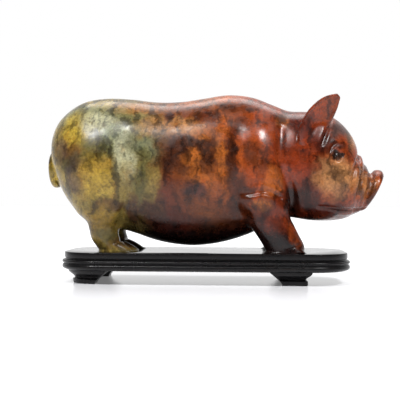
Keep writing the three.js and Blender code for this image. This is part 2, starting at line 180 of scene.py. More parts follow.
# Painted light: the floor's glow, low near the stand as painted shade and high away from it
tree.links.new(glow.outputs["Result"], shader.inputs["Emission Strength"])
shader.inputs["Emission Color"].default_value = (1, 1, 1, 1)
corners = [(x * FLOOR_HALF, y * FLOOR_HALF, 0) for x, y in ((-1, -1), (1, -1), (1, 1), (-1, 1))]
floor = mesh_object("floor", corners, [(0, 1, 2, 3)], floor_material, smooth=False)

# The pig: one block of soapstone, carved, sanded and waxed. Its forms are lofted sections, eggs and
# ropes, melted into each other on a fine grid as rasp and sandpaper melt the real cuts, and the whole
# skin is taken off that grid as one mesh.
pig_low, pig_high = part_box("pig_carving")
stand_low, stand_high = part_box("wooden_stand")
SNOUT_TIP = 100
TAIL = {"up": 23.1, "behind": 2.35, "lean": 0.04, "radius": 4.6, "rope": 1.6, "turns": 1.35}
TAIL_TIP = TAIL["behind"] - TAIL["rope"] - TAIL["lean"] * TAIL["radius"]
STAND_TOP = stand_high[2]
UNIT = (pig_high[0] - pig_low[0]) / (SNOUT_TIP - TAIL_TIP)
MIDDLE = (SNOUT_TIP + TAIL_TIP) / 2


def spot(along, side, high):
    """A place in metres, from the pig's own measure: along, sideways and up from the stand."""
    return np.array([(along - MIDDLE) * UNIT, side * UNIT, STAND_TOP + high * UNIT])


# The grid on which the carving is shaped. Values are distances in metres, negative inside the stone,
# and are kept up to a band of so many steps from the skin.
VOXEL = 0.5 * MM
BAND = 11
GRID_MARGIN = 3 * MM
grid_low = np.array(pig_low) - GRID_MARGIN
grid_steps = np.ceil((np.array(pig_high) + GRID_MARGIN - grid_low) / VOXEL).astype(int)
grid_shape = tuple(int(n) for n in grid_steps + 1)


def axis_values(axis, start, stop):
    """The coordinates of the grid's points along one axis."""
    return (grid_low[axis] + np.arange(start, stop) * VOXEL).astype(np.float32)


def window(low, high):
    """The slices of the grid that cover a box, and the coordinates of its points."""
    first = np.clip(np.floor((np.array(low) - grid_low) / VOXEL).astype(int), 0, None)
    last = np.minimum(np.ceil((np.array(high) - grid_low) / VOXEL).astype(int) + 1, grid_shape)
    cut = tuple(slice(a, b) for a, b in zip(first, last))
    x, y, z = (axis_values(k, first[k], last[k]) for k in range(3))
    return cut, x[:, None, None], y[None, :, None], z[None, None, :]


def smooth_min(a, b, blend):
    """The smaller of two distances, rounded over where they are nearly the same."""
    h = np.clip(0.5 + 0.5 * (b - a) / blend, 0, 1)
    return b * (1 - h) + a * h - blend * h * (1 - h)


def spline(rows, steps):
    """A smooth run through rows of numbers, with so many steps between each two."""
    rows = np.array(rows, float)
    padded = np.vstack([2 * rows[0] - rows[1], rows, 2 * rows[-1] - rows[-2]])
    out = []
    for i in range(1, len(padded) - 2):
        a, b, c, d = padded[i - 1:i + 3]
        for t in np.arange(steps) / steps:
            out.append(0.5 * (2 * b + (c - a) * t + (2 * a - 5 * b + 4 * c - d) * t * t
                              + (3 * b - a - 3 * c + d) * t ** 3))
    return np.array(out + [rows[-1]])


def loft_field(rings):
    """The distance field of a closed skin over rings of equally many points."""
    rings = np.array(rings)
    count, around = rings.shape[:2]
    points = np.vstack([rings.reshape(-1, 3), rings[0].mean(0), rings[-1].mean(0)])
    i = np.arange(around)
    j = (i + 1) % around
    faces = []
    for r in range(count - 1):
        low, high = r * around, (r + 1) * around
        faces += [np.stack([low + i, low + j, high + j], 1), np.stack([low + i, high + j, high + i], 1)]
    tip = (count - 1) * around
    faces.append(np.stack([np.full(around, count * around), j, i], 1))
    faces.append(np.stack([np.full(around, count * around + 1), tip + i, tip + j], 1))
    shell = openvdb.FloatGrid.createLevelSetFromPolygons(
        ((points - grid_low) / VOXEL).astype(np.float32),
        triangles=np.vstack(faces).astype(np.uint32),
        transform=openvdb.createLinearTransform(1.0), halfWidth=BAND)
    field = np.full(grid_shape, BAND, np.float32)
    shell.copyToArray(field)
    return field * VOXEL


def soft_power(value, power):
    """A power that keeps the sign, which squares off or sharpens a round section."""
    return np.sign(value) * np.abs(value) ** power


# Trunk, neck and head, from rump to snout: top along, top up, bottom along, bottom up, half-width
STATIONS = [
    [1.3, 30.4, 1.6, 26.6, 2.0],
    [1.6, 34.4, 2.1, 23.4, 6.2],
    [3.2, 38.1, 3.5, 19.9, 9.6],
    [5.6, 40.9, 5.7, 16.3, 12.0],
    [8.9, 43.3, 8.8, 12.8, 13.8],
    [13.0, 44.9, 12.6, 9.8, 15.0],
    [19.0, 45.5, 18.4, 7.2, 15.5],
    [26.0, 45.1, 25.0, 5.5, 15.9],
    [33.0, 44.3, 33.0, 2.9, 16.2],
    [40.0, 44.4, 40.0, 1.7, 16.4],
    [47.0, 45.4, 46.0, 1.6, 16.3],
    [54.0, 46.4, 53.0, 2.7, 15.8],
    [61.0, 45.7, 60.0, 4.9, 15.2],
    [67.0, 43.5, 66.5, 8.0, 14.3],
    [72.0, 41.6, 71.5, 9.9, 13.0],
    [77.0, 41.4, 76.5, 9.8, 12.9],
    [82.0, 40.9, 81.0, 9.1, 12.7],
    [86.4, 38.8, 84.8, 9.1, 12.0],
    [89.8, 35.3, 87.6, 9.5, 10.4],
    [91.8, 31.5, 89.6, 10.1, 8.9],
    [92.3, 28.8, 90.4, 10.6, 7.7],
    [93.4, 28.2, 91.1, 10.9, 7.8],
    [94.1, 26.1, 91.8, 11.2, 7.1],
    [95.0, 25.2, 92.5, 11.5, 7.2],
    [96.1, 23.0, 93.2, 11.9, 6.3],
    [97.5, 24.1, 93.7, 12.0, 6.7],
    [99.3, 24.0, 94.6, 12.5, 6.9],
    [100.0, 22.8, 95.6, 14.0, 6.5],
]
BELLY_FULLNESS = 0.06
SECTION_SQUARENESS = 0.94


def trunk_ring(station, around=120):
    """One section of the trunk, fuller below than above."""
    top_along, top_up, low_along, low_up, half = station
    turn = np.arange(around) * 2 * math.pi / around
    rise = soft_power(np.sin(turn), SECTION_SQUARENESS)
    width = soft_power(np.cos(turn), SECTION_SQUARENESS) * (1 - BELLY_FULLNESS * rise) * half
    along = (top_along + low_along + (top_along - low_along) * rise) / 2
    high = (top_up + low_up + (top_up - low_up) * rise) / 2
    return np.stack([(along - MIDDLE) * UNIT, width * UNIT, STAND_TOP + high * UNIT], 1)


stone = loft_field([trunk_ring(station) for station in spline(STATIONS, 5)])
skin = stone


def skin_at(places):
    """The distance from the last finished skin, read between the points of the grid."""
    cell = (np.atleast_2d(places) - grid_low) / VOXEL
    base = np.clip(np.floor(cell).astype(int), 0, np.array(grid_shape) - 2)
    part = cell - base
    total = 0
    for corner in np.ndindex(2, 2, 2):
        weight = np.prod(np.where(corner, part, 1 - part), axis=1)
        i, j, k = (base + corner).T
        total = total + weight * skin[i, j, k]
    return total


def facing(place):
    """The direction that the stone's skin faces at a place."""
    steps = np.eye(3) * VOXEL
    slope = skin_at(place + steps) - skin_at(place - steps)
    return slope / max(np.linalg.norm(slope), 1e-9)


NEAR, FAR = -1, 1

# The stretch of a ray from the camera, as shares of the way to the middle plane, that meets the skin
RAY_START, RAY_END = 0.91, 1.03
RAY_STEPS = 220


def flank(along, high, side=NEAR, proud=0.0):
    """A place on the skin as the side view shows it, on the near flank or mirrored to the far one."""
    eye = np.array(eye_point)
    ray = spot(along, 0, high) - eye
    places = eye + ray * np.linspace(RAY_START, RAY_END, RAY_STEPS)[:, None]
    depth = skin_at(places)
    first = int(np.argmax(depth < 0)) if (depth < 0).any() else int(np.argmin(depth))
    hit = places[first]
    if depth[first] < 0 < first:
        hit = hit + (places[first - 1] - hit) * depth[first] / (depth[first] - depth[first - 1])
    hit = hit + facing(hit) * proud * UNIT
    return hit * (1, -side, 1)


def egg_field(centre, sizes, lean=0.0, reach=1.0):
    """A window of the grid and the distance there to an egg with three half-sizes."""
    span = (max(sizes) + reach) * UNIT
    cut, x, y, z = window(centre - span, centre + span)
    turn = math.radians(lean)
    length, width, height = (size * UNIT for size in sizes)
    dx, dy, dz = x - centre[0], y - centre[1], z - centre[2]
    a = dx * math.cos(turn) - dz * math.sin(turn)
    c = dx * math.sin(turn) + dz * math.cos(turn)
    near = np.sqrt((a / length) ** 2 + (dy / width) ** 2 + (c / height) ** 2)
    slope = np.sqrt((a / length ** 2) ** 2 + (dy / width ** 2) ** 2 + (c / height ** 2) ** 2)
    return cut, (near * (near - 1) / np.maximum(slope, 1e-6)).astype(np.float32)


def rope_field(places, radii, reach):
    """A window of the grid and the distance there to a rope through places, with its radii."""
    places = np.array(places)
    radii = np.array(radii) * UNIT
    span = radii.max() + reach * UNIT
    cut, x, y, z = window(places.min(0) - span, places.max(0) + span)
    field = np.float32(1)
    for p, q, r0, r1 in zip(places[:-1], places[1:], radii[:-1], radii[1:]):
        run = q - p
        dx, dy, dz = x - p[0], y - p[1], z - p[2]
        t = np.clip((dx * run[0] + dy * run[1] + dz * run[2]) / max(run @ run, 1e-12), 0, 1)
        near = np.sqrt((dx - t * run[0]) ** 2 + (dy - t * run[1]) ** 2 + (dz - t * run[2]) ** 2)
        field = np.minimum(field, near - (r0 + (r1 - r0) * t))
    return cut, field.astype(np.float32)


def add(cut_and_field, blend):
    """Melts a shape into the stone."""
    cut, field = cut_and_field
    stone[cut] = smooth_min(stone[cut], field, blend * UNIT)


def carve(cut_and_field, blend):
    """Takes a shape out of the stone, with its edge rounded."""
    cut, field = cut_and_field
    stone[cut] = -smooth_min(-stone[cut], field, blend * UNIT)


def faded(count):
    """A rise from nothing and back over so many places."""
    return np.sin(np.linspace(0.02, math.pi - 0.02, count)) ** 0.6


def crease(line, side, radius, depth, blend):
    """A groove of a depth along a line of the side view, which fades at both ends."""
    line = spline(line, 5)
    places = [flank(*place, side, radius - depth * f) for place, f in zip(line, faded(len(line)))]
    carve(rope_field(places, np.full(len(line), radius), 2 + blend), blend)


def fold(line, side, radius, proud, blend):
    """A soft ridge along a line of the side view, which sinks away at both ends."""
    line = spline(line, 5)
    fade = faded(len(line))
    places = [flank(*place, side, proud * f - radius) for place, f in zip(line, fade)]
    add(rope_field(places, np.full(len(line), radius), 2 + blend), blend)


def both_sides(shape):
    """Shapes the near side and the far one from the same skin."""
    global skin
    skin = stone.copy()
    for side in (NEAR, FAR):
        shape(side)


# Haunch, shoulder, cheek and jowl swell from the trunk. Each is an egg with its place as along, out
# and up, three half-sizes, its lean in degrees and how widely it melts in.
MASSES = [
    [17.6, 6.4, 22.8, (11.6, 10.2, 14.6), -6, 3.2],
    [62.4, 6.5, 24.0, (9.4, 10.0, 15.6), -5, 2.2],
    [85.2, 5.2, 19.8, (8.0, 7.3, 8.6), 10, 2.6],
    [78.4, 5.4, 17.0, (9.0, 6.8, 7.4), 0, 2.6],
]


def masses(side):
    for along, out, high, sizes, lean, blend in MASSES:
        add(egg_field(spot(along, side * out, high), sizes, lean, 2 + blend), blend)


both_sides(masses)

# Legs and hooves. Each section has its height, its middle as along and side, and two half-sizes.
# A foot has its sole's middle and half-sizes, its two toes as along, side and half-length, and how
# widely the leg melts into the body.
HIND_LEG = [
    [20.0, 17.6, 8.2, 7.6, 6.4],
    [13.0, 16.8, 8.4, 6.6, 5.8],
    [9.0, 17.8, 8.1, 4.7, 4.6],
    [6.6, 17.8, 7.8, 4.2, 4.0],
    [3.6, 18.5, 7.5, 4.2, 3.8],
    [0.3, 21.3, 7.4, 4.7, 3.6],
]
FORE_LEG = [
    [21.0, 63.0, 9.0, 7.6, 6.0],
    [14.0, 64.2, 10.2, 7.4, 5.4],
    [9.6, 65.8, 10.8, 6.7, 4.8],
    [5.5, 68.3, 11.1, 6.1, 4.3],
    [2.4, 70.1, 11.1, 5.9, 4.0],
    [0.3, 70.6, 11.1, 5.5, 3.8],
]
FEET = [
    {"leg": HIND_LEG, "along": 22.3, "out": 7.3, "length": 5.9, "width": 3.9,
     "toes": [[22.9, 9.1, 3.8], [24.5, 5.5, 3.7]], "blend": 2.6},
    {"leg": FORE_LEG, "along": 70.4, "out": 11.1, "length": 6.0, "width": 4.0,
     "toes": [[72.2, 13.0, 4.2], [72.4, 9.2, 4.1]], "blend": 2.2},
]
TOE_WIDTH = 1.95
TOE_BLEND = 0.5
SOLE_GAP = 0.2
SOLE_BLEND = 0.15
TOE_SECTIONS = [[SOLE_GAP, 0, 1], [1.1, -0.7, 0.88], [2.1, -1.6, 0.68], [3.0, -2.5, 0.4]]
FOOT_SQUARENESS = 0.8
SOCKET_DEPTH = STAND_TOP - pig_low[2]


def oval(along, side, high, length, width, squareness=1.0, around=48):
    """A level oval ring with two half-sizes."""
    turn = np.arange(around) * 2 * math.pi / around
    forwards = soft_power(np.cos(turn), squareness) * length
    out = soft_power(np.sin(turn), squareness) * width
    return np.stack([(along + forwards - MIDDLE) * UNIT, (side + out) * UNIT,
                     np.full(around, STAND_TOP + high * UNIT)], 1)


def limbs(side):
    global stone
    for foot in FEET:
        leg = loft_field([oval(along, side * out, high, length, width)
                          for high, along, out, length, width in spline(foot["leg"], 6)[::-1]])
        stone = smooth_min(stone, leg, foot["blend"] * UNIT)
        for along, out, length in foot["toes"]:
            toe = loft_field([oval(along + back, side * out, high, length * size, TOE_WIDTH * size, 0.9)
                              for high, back, size in spline(TOE_SECTIONS, 5)])
            stone = smooth_min(stone, toe, TOE_BLEND * UNIT)
        low = -SOCKET_DEPTH / UNIT
        sole = loft_field([oval(foot["along"], side * foot["out"], high, foot["length"], foot["width"],
                                FOOT_SQUARENESS) for high in (low, 2 * SOLE_GAP)])
        stone = smooth_min(stone, sole, SOLE_BLEND * UNIT)


both_sides(limbs)


# What the carver cut with a gouge: the hollows behind and before the shoulder, the fold over the
# elbow with the swell of the forearm under it, the line before the haunch and the creases of the hooves
def gouge_lines(side):
    crease([[54.6, 34.0], [54.3, 30.1], [54.3, 25.6], [54.9, 21.1], [55.8, 16.6], [57.6, 12.7],
            [59.7, 10.0]], side, 2.3, 0.85, 2.2)
    crease([[69.8, 36.5], [69.6, 30.1], [69.9, 25.6], [71.2, 22.6], [72.6, 19.2], [73.3, 15.7],
            [73.2, 12.1], [73.3, 9.7]], side, 1.0, 0.8, 1.3)
    fold([[59.6, 14.4], [63.5, 15.9], [67.6, 15.2], [70.0, 13.6]], side, 3.0, 0.12, 2.4)
    crease([[56.8, 17.3], [60.9, 17.2], [64.5, 17.9], [67.4, 17.1], [69.6, 15.9]], side, 0.7, 0.26, 0.9)
    crease([[25.4, 22.6], [24.8, 19.6], [24.0, 14.6], [23.2, 11.2], [21.9, 7.7]], side, 1.5, 0.6, 1.8)
    crease([[19.0, 1.5], [20.6, 2.2], [22.3, 3.0]], side, 0.35, 0.3, 0.4)
    crease([[71.2, 0.6], [73.2, 1.0], [75.4, 1.7]], side, 0.35, 0.25, 0.4)


both_sides(gouge_lines)

# Ears: scooped leaves that stand up and open forwards. Middle as along, side and up, and half-width.
EAR = [
    [77.0, 8.0, 31.0, 2.4],
    [77.8, 8.8, 34.0, 3.7],
    [79.1, 9.6, 36.9, 3.9],
    [80.7, 10.3, 39.4, 3.6],
    [82.4, 10.8, 41.6, 3.0],
    [84.1, 11.1, 43.4, 2.1],
    [85.7, 11.2, 44.9, 0.75],
]
EAR_THICKNESS = 1.2
EAR_CUP = 0.8
EAR_TWIST = 0.44
EAR_SCOOP = 0.8
EAR_ROOT = 38.5
EAR_PROUD = 0.35
EAR_FREE = 37.0
EAR_SINK = 0.38
EAR_RIM = 0.88
EAR_THINNING = 0.5
EAR_ROOT_ROUND = 0.6
EAR_BLEND = 1.3
EAR_AROUND = 48
SCOOP_REACH = slice(15, -5)
RIM_REACH = slice(14, -8)
RIM_RADIUS = 0.4
RIM_PROUD = 0.55


def ear(side):
    global stone
    rows = spline(EAR, 8)
    runs = np.gradient(rows[:, [0, 2]], axis=0)
    runs /= np.linalg.norm(runs, axis=1)[:, None]
    rings, scoop, scoop_radii = [], [], []
    rims = {-EAR_RIM: [], EAR_RIM: []}
    for k, ((along, out, high, half), run) in enumerate(zip(rows, runs)):
        skin_out = abs(flank(along, high, side)[1]) / UNIT if high < EAR_ROOT else 0
        root = skin_out + EAR_PROUD + min(0, high - EAR_FREE) * EAR_SINK
        out = 0.5 * (out + root + math.hypot(out - root, EAR_ROOT_ROUND))
        turn = np.arange(EAR_AROUND) * 2 * math.pi / EAR_AROUND
        thickness = EAR_THICKNESS * (1 - EAR_THINNING * k / len(rows))
        across = np.cos(turn)
        sideways = side * (out + EAR_CUP * across ** 2 * half / 4 - EAR_TWIST * across * half)
        sideways = sideways + soft_power(np.sin(turn), 0.8) * thickness
        rings.append(np.stack([(along + run[1] * across * half - MIDDLE) * UNIT, sideways * UNIT,
                               STAND_TOP + (high - run[0] * across * half) * UNIT], 1))
        depth = EAR_SCOOP * math.sin(math.pi * k / len(rows)) ** 1.5 - 0.1
        away = thickness + half - depth
        turned = EAR_TWIST * run * away
        scoop.append(spot(along + turned[1], side * (out + away), high - turned[0]))
        scoop_radii.append(half)
        for at, rim in rims.items():
            out_there = out + EAR_CUP * at ** 2 * half / 4 - EAR_TWIST * at * half
            out_there += RIM_PROUD * thickness
            rim.append(spot(along + run[1] * at * half, side * out_there, high - run[0] * at * half))
    stone = smooth_min(stone, loft_field(rings), EAR_BLEND * UNIT)
    carve(rope_field(scoop[SCOOP_REACH], scoop_radii[SCOOP_REACH], 2), 0.6)
    for rim in rims.values():
        rim = rim[RIM_REACH]
        add(rope_field(rim, RIM_RADIUS * faded(len(rim)), 2), 0.4)
    fold([[83.2, 39.0], [82.4, 36.6], [81.5, 34.2], [80.9, 32.2]], side, 1.6, 0.35, 2.0)
    crease([[84.6, 39.2], [83.9, 36.8], [82.9, 34.2], [82.0, 31.8]], side, 0.6, 0.22, 0.6)


both_sides(ear)


# The tail curls up flat against the rump, a little to the near side
TAIL_SIDE = -1.0
TAIL_LIFT = 0.5
TAIL_TRENCH = 1.1
TAIL_CLOSING = 0.62
TAIL_TAPER = 0.2
TAIL_STEPS = 60


def tail():
    part = np.arange(TAIL_STEPS + 1) / TAIL_STEPS
    turn = math.pi / 2 + 2 * math.pi * TAIL["turns"] * part
    radius = TAIL["radius"] * (1 - TAIL_CLOSING * part)
    rise = np.sin(turn) * radius
    places = [spot(TAIL["behind"] - TAIL["lean"] * h, c + TAIL_SIDE, TAIL["up"] + TAIL_LIFT + h)
              for h, c in zip(rise, np.cos(turn) * radius)]
    outside = np.array(places) - (TAIL_TRENCH * UNIT, 0, 0)
    carve(rope_field(outside, TAIL["rope"] + 0.3 - TAIL_TAPER * part, 3), 0.6)
    add(rope_field(places, TAIL["rope"] * (1 - TAIL_TAPER * part), 3), 0.2)


tail()


# The face: brow, lidded eye with a pouch under it, three folds over the snout, the mouth with its
# lower lip, and the nostrils in the flat of the snout
def face(side):
    carve(egg_field(flank(86.9, 28.5, side, 0.35), (1.35, 1.0, 2.1), -22, 1.5), 0.5)
    add(egg_field(flank(86.9, 28.4, side, -1.4), (0.95, 1.25, 1.5), -22, 1.5), 0.1)
    fold([[85.2, 28.6], [85.5, 30.0], [86.4, 30.9], [87.6, 31.0]], side, 0.4, 0.3, 0.35)
    fold([[87.4, 29.9], [88.1, 28.4], [88.0, 26.9], [87.0, 26.2]], side, 0.4, 0.28, 0.35)
    crease([[84.6, 29.6], [85.2, 31.2], [86.6, 32.1], [88.6, 32.0]], side, 0.4, 0.3, 0.5)
    crease([[88.2, 26.4], [89.6, 26.0], [91.2, 26.6]], side, 0.35, 0.25, 0.5)
    crease([[93.1, 28.2], [91.9, 24.4], [91.2, 21.2], [91.0, 18.2]], side, 0.8, 0.85, 0.8)
    crease([[95.3, 25.0], [94.2, 22.0], [93.3, 19.0], [92.6, 15.8]], side, 0.8, 0.9, 0.8)
    crease([[97.0, 23.2], [96.4, 20.2], [95.8, 18.2], [94.9, 16.2]], side, 0.8, 0.9, 0.8)
    crease([[96.2, 13.6], [95.1, 12.9], [91.8, 12.2], [88.0, 12.3], [84.2, 12.8], [81.0, 13.2]],
           side, 0.55, 0.7, 0.5)
    fold([[91.0, 11.1], [89.0, 11.0], [87.0, 11.2], [84.2, 11.8]], side, 0.8, 0.15, 0.7)
    carve(egg_field(spot(98.7, side * 2.3, 18.4), (1.3, 1.1, 1.7), 20, 1), 0.3)


both_sides(face)
skin = stone

# The skin of the grid, smoothed a little and thinned to a mesh that keeps its curves. Its faces are
# turned to point outwards.
SANDING = 0.5
SANDING_PASSES = 4
FACES_KEPT = 0.4
grid = openvdb.FloatGrid(BAND * VOXEL)
grid.gridClass = openvdb.GridClass.LEVEL_SET
grid.copyFromArray(np.clip(stone, -BAND * VOXEL, BAND * VOXEL).astype(np.float32))
points, quads = grid.convertToQuads(isovalue=0.0)
points = points.astype(float) * VOXEL + grid_low
quads = quads[:, ::-1]
stone_material, tree, shader = new_material("soapstone")
pig = mesh_object("pig", points, quads, stone_material)
bpy.context.view_layer.objects.active = pig
relax = pig.modifiers.new("relax", "SMOOTH")
relax.factor = SANDING
relax.iterations = SANDING_PASSES
thin = pig.modifiers.new("thin", "DECIMATE")
thin.ratio = FACES_KEPT
depsgraph = bpy.context.evaluated_depsgraph_get()
fine_mesh = bpy.data.meshes.new_from_object(pig.evaluated_get(depsgraph))
pig.modifiers.clear()
pig.data = fine_mesh
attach(pig, "root")
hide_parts("pig_carving")

# The stone's colour: stains soaked into a block that runs from ochre at the rump to russet at the head,
# with painted shade that darkens it to nearly black low on the belly. Each stain is an egg of one colour,
# with a frayed edge; a few are painted shade in creases.
STONE_COLOURS = {
    "ochre": "8f7d47", "yellow": "b39a42", "mustard": "977c38", "celadon": "a8a68a", "lichen": "7f8567",
    "moss": "5d5a38", "olive": "6e653c", "fawn": "a5794a", "sand": "b0875c", "amber": "a0602c",
    "rust": "94481f", "russet": "7b351a", "chestnut": "6a3a22", "umber": "4b2b1d", "plum": "50322f",
    "slate": "5d4b47", "oxblood": "4e1f17", "soot": "241311", "coal": "0e0908",
}


def stone_colour(name):
    """A named colour of the stone as the shader takes it."""
    value = STONE_COLOURS[name]
    parts = [int(value[k:k + 2], 16) / 255 for k in (0, 2, 4)]
    return tuple(p / 12.92 if p <= 0.04045 else ((p + 0.055) / 1.055) ** 2.4 for p in parts) + (1,)


# Along, up, half-length, half-height, lean in degrees, colour and how much of it
STAINS = [
    [40, 16.0, 9, 5.0, 0, "oxblood", 0.5],
    [67.5, 12, 4, 6, 20, "oxblood", 0.5],
    [12, 41, 12, 3.5, 0, "lichen", 0.7],
    [8.5, 36.5, 4.5, 5.0, 0, "yellow", 0.8],
    [15.5, 37.5, 6.5, 4.2, 15, "celadon", 0.75],
    [20, 34.5, 5, 3.6, 0, "lichen", 0.85],
    [15, 31.2, 6, 2.6, 10, "moss", 0.75],
    [6.8, 29.5, 3.4, 3, 0, "chestnut", 0.6],
    [3, 29.5, 2.6, 4, 0, "slate", 0.6],
    [9, 26.5, 6.5, 2.8, -20, "moss", 0.85],
    [8, 23, 3.5, 5.5, 0, "slate", 0.75],
    [13.5, 22.5, 5.5, 6, -30, "mustard", 0.9],
    [16, 18.5, 6, 4.5, 0, "yellow", 0.45],
    [22.5, 29.5, 3.0, 8.5, 5, "celadon", 0.85],
    [21.5, 20, 2.4, 5, 10, "ochre", 0.6],
    [18, 12.8, 4.5, 1.5, 0, "umber", 0.75],
    [15.5, 8.0, 4.0, 5.0, 0, "mustard", 0.9],
    [17.0, 3.6, 3.2, 1.6, 20, "moss", 0.7],
    [23.0, 2.0, 4.2, 2.2, 0, "umber", 0.7],
    [1.6, 22.5, 1.8, 4.5, 0, "yellow", 0.9],
    [25.5, 32.5, 2.4, 3.5, 0, "moss", 0.6],
    [29, 30.5, 3.5, 3.0, 20, "lichen", 0.55],
    [31, 37.5, 4, 3, 0, "sand", 0.6],
    [27.5, 26.5, 2.2, 3.5, 20, "olive", 0.6],
    [27.5, 19.5, 2.5, 6, 8, "moss", 0.55],
    [31.0, 19.0, 2.2, 5.5, 8, "ochre", 0.65],
    [29.8, 12.5, 2.8, 2.4, 0, "umber", 0.8],
    [25.5, 12.0, 2.2, 4.5, 0, "umber", 0.8],
    [34, 43, 13, 2.6, 0, "amber", 0.55],
    [38, 37, 7, 3.2, 0, "fawn", 0.75],
    [36.2, 39.5, 1.5, 1.6, 0, "plum", 0.8],
    [44.5, 42, 4.8, 2.4, 10, "oxblood", 0.55],
    [48.5, 40, 3.0, 2.4, 0, "oxblood", 0.65],
    [53, 42.5, 4.5, 3.0, 0, "chestnut", 0.6],
    [38.5, 28.0, 3.2, 4.6, -20, "umber", 0.85],
    [43, 32.2, 5.0, 2.0, 0, "umber", 0.85],
    [48.8, 30.5, 3.2, 3.6, 0, "umber", 0.85],
    [47.5, 25.5, 2.2, 3.2, 0, "umber", 0.75],
    [42.8, 27.8, 2.6, 3.0, 0, "amber", 0.9],
    [52.2, 27.0, 1.6, 8.0, 0, "amber", 0.7],
    [43.8, 18.2, 2.9, 2.1, 15, "plum", 0.85],
    [50, 16, 3.8, 4.5, 0, "chestnut", 0.5],
    # Painted shade in the crease behind the shoulder, in two stains
    [55.3, 27, 1.7, 10, 3, "soot", 0.8],
    [57.5, 15, 3.0, 6, 20, "soot", 0.75],
    [60, 35.3, 4.2, 4.2, 0, "rust", 0.6],
    [57.6, 37.5, 2.0, 2.4, 0, "umber", 0.7],
    [61.0, 30, 2.2, 3.8, 10, "umber", 0.65],
    [63.8, 26.3, 2.8, 2.8, 0, "chestnut", 0.6],
    [67.3, 21.2, 3.2, 4.2, 15, "amber", 0.6],
    [58, 43.3, 6, 2.4, 0, "chestnut", 0.6],
    [64.7, 14.4, 2.7, 1.7, 0, "amber", 0.95],
    [64.5, 9.5, 5.0, 4.0, 0, "soot", 0.45],
    [69.6, 9.0, 3.2, 4.5, 20, "russet", 0.7],
    [74.2, 4.5, 1.8, 4.5, -30, "rust", 0.6],
    [68.5, 1.5, 4.0, 1.8, 0, "soot", 0.7],
    [73.0, 28.5, 3.6, 5.5, 0, "russet", 0.75],
    [73.0, 38.5, 3.0, 2.2, 0, "oxblood", 0.7],
    [70.5, 38.8, 1.6, 2.2, 0, "amber", 0.6],
    [77, 36.8, 2.5, 2.5, 0, "oxblood", 0.6],
    # Painted shade in the crease before the foreleg
    [73, 15, 2.6, 4.6, 0, "coal", 0.8],
    [77.5, 15.0, 3.5, 3.0, 0, "soot", 0.65],
    [83.5, 42.0, 3.4, 3.6, 0, "rust", 0.7],
    [81.5, 33.5, 2.6, 3.2, 0, "oxblood", 0.7],
    [86.8, 36.2, 3.2, 2.8, 0, "slate", 0.8],
    [83.5, 31.8, 2.8, 2.8, 0, "soot", 0.55],
    [90.8, 33.6, 1.8, 4.2, 0, "fawn", 0.6],
    [77.5, 24.0, 3.0, 4.0, 0, "russet", 0.6],
    [78.8, 19.3, 2.6, 2.8, 0, "plum", 0.55],
    [86.0, 22.0, 5.6, 5.4, 10, "sand", 0.72],
    [94.0, 20.5, 3.6, 5.0, 0, "sand", 0.55],
    # Painted shade in the fold behind the snout's disc
    [95.6, 21.0, 0.8, 2.2, -15, "plum", 0.6],
    [86.9, 28.5, 0.9, 1.6, -22, "coal", 0.9],
    # Painted shade along the crease over the brow
    [86.6, 31.6, 2.4, 0.8, 10, "soot", 0.7],
    [84, 12.8, 6.5, 2.0, 0, "oxblood", 0.75],
    [38, 8.5, 9, 3.0, 0, "oxblood", 0.6],
]
STAIN_DEPTH = 9
STAIN_FRAY = 0.44
REGION_STOPS = [
    [0.0, "ochre"], [0.22, "ochre"], [0.30, "olive"], [0.37, "chestnut"], [0.46, "amber"],
    [0.60, "rust"], [0.75, "russet"], [1.0, "rust"],
]
# Where the painted shade under the belly starts and is full: heights, then places along
BELLY_TOP, BELLY_LOW = 17, 4
BELLY_FROM, BELLY_FULL = 22, 34
FAR_SIDE_DEPTH = 0.020
FAR_SIDE_DRIFT = 0.016
STREAK_SLANT = math.radians(-32)
STONE_DEPTH = 1.16

# Noises that bend the stains, from broad to fine: scale, detail, reach in metres and seed
WARPS = ((45, 2, 0.007, 1.0), (150, 6, 0.0100, 2.0), (520, 5, 0.0036, 3.0))

# Noises that shade the stone: scale, detail, seed, the part of the noise used and what it becomes
CLOUD = (90, 8, 5.0, 0.32, 0.68, 0.62, 1.25, "LINEAR")
VEINS = (230, 8, 5.5, 0.52, 0.66, 1.0, 0.62)
STREAKS = (260, 8, 5.7, 0.47, 0.64, 1.10, 0.44)
FLAMES = (330, 6, 5.9, 0.54, 0.68, 0.0, 0.40)
GRAIN = (900, 5, 6.0, 0.32, 0.68, 0.74, 1.20, "LINEAR")
SPECKS = (520, 4, 7.0, 0.60, 0.70, 0.0, 0.45)
POLISH = (170, 7, 8.0, 0.35, 0.65, 0.17, 0.38, "LINEAR")


def add_node(kind, **settings):
    """A node in the tree of the material being made, with its settings."""
    node = tree.nodes.new(kind)
    for name, value in settings.items():
        setattr(node, name, value)
    return node


def noise(scale, detail, vector, seed):
    """A noise texture, fixed by its seed."""
    node = add_node("ShaderNodeTexNoise", noise_dimensions="4D")
    node.inputs["Scale"].default_value = scale
    node.inputs["Detail"].default_value = detail
    node.inputs["W"].default_value = seed
    tree.links.new(vector, node.inputs["Vector"])
    return node


def vector_math(operation, first, second=None, scale=None):
    """One step of arithmetic on a place, with a number, a place or another node's output."""
    node = add_node("ShaderNodeVectorMath", operation=operation)
    tree.links.new(first, node.inputs[0])
    if isinstance(second, tuple):
        node.inputs[1].default_value = second
    elif second is not None:
        tree.links.new(second, node.inputs[1])
    if scale is not None:
        node.inputs["Scale"].default_value = scale
    return node.outputs[1] if operation == "LENGTH" else node.outputs[0]


def fit(value, low, high, out_low=0.0, out_high=1.0, kind="SMOOTHSTEP"):
    """Spreads the range from low to high over the one from out_low to out_high."""
    node = add_node("ShaderNodeMapRange", interpolation_type=kind)
    for name, number in zip(("From Min", "From Max", "To Min", "To Max"), (low, high, out_low, out_high)):
        node.inputs[name].default_value = number
    tree.links.new(value, node.inputs["Value"])
    return node.outputs["Result"]


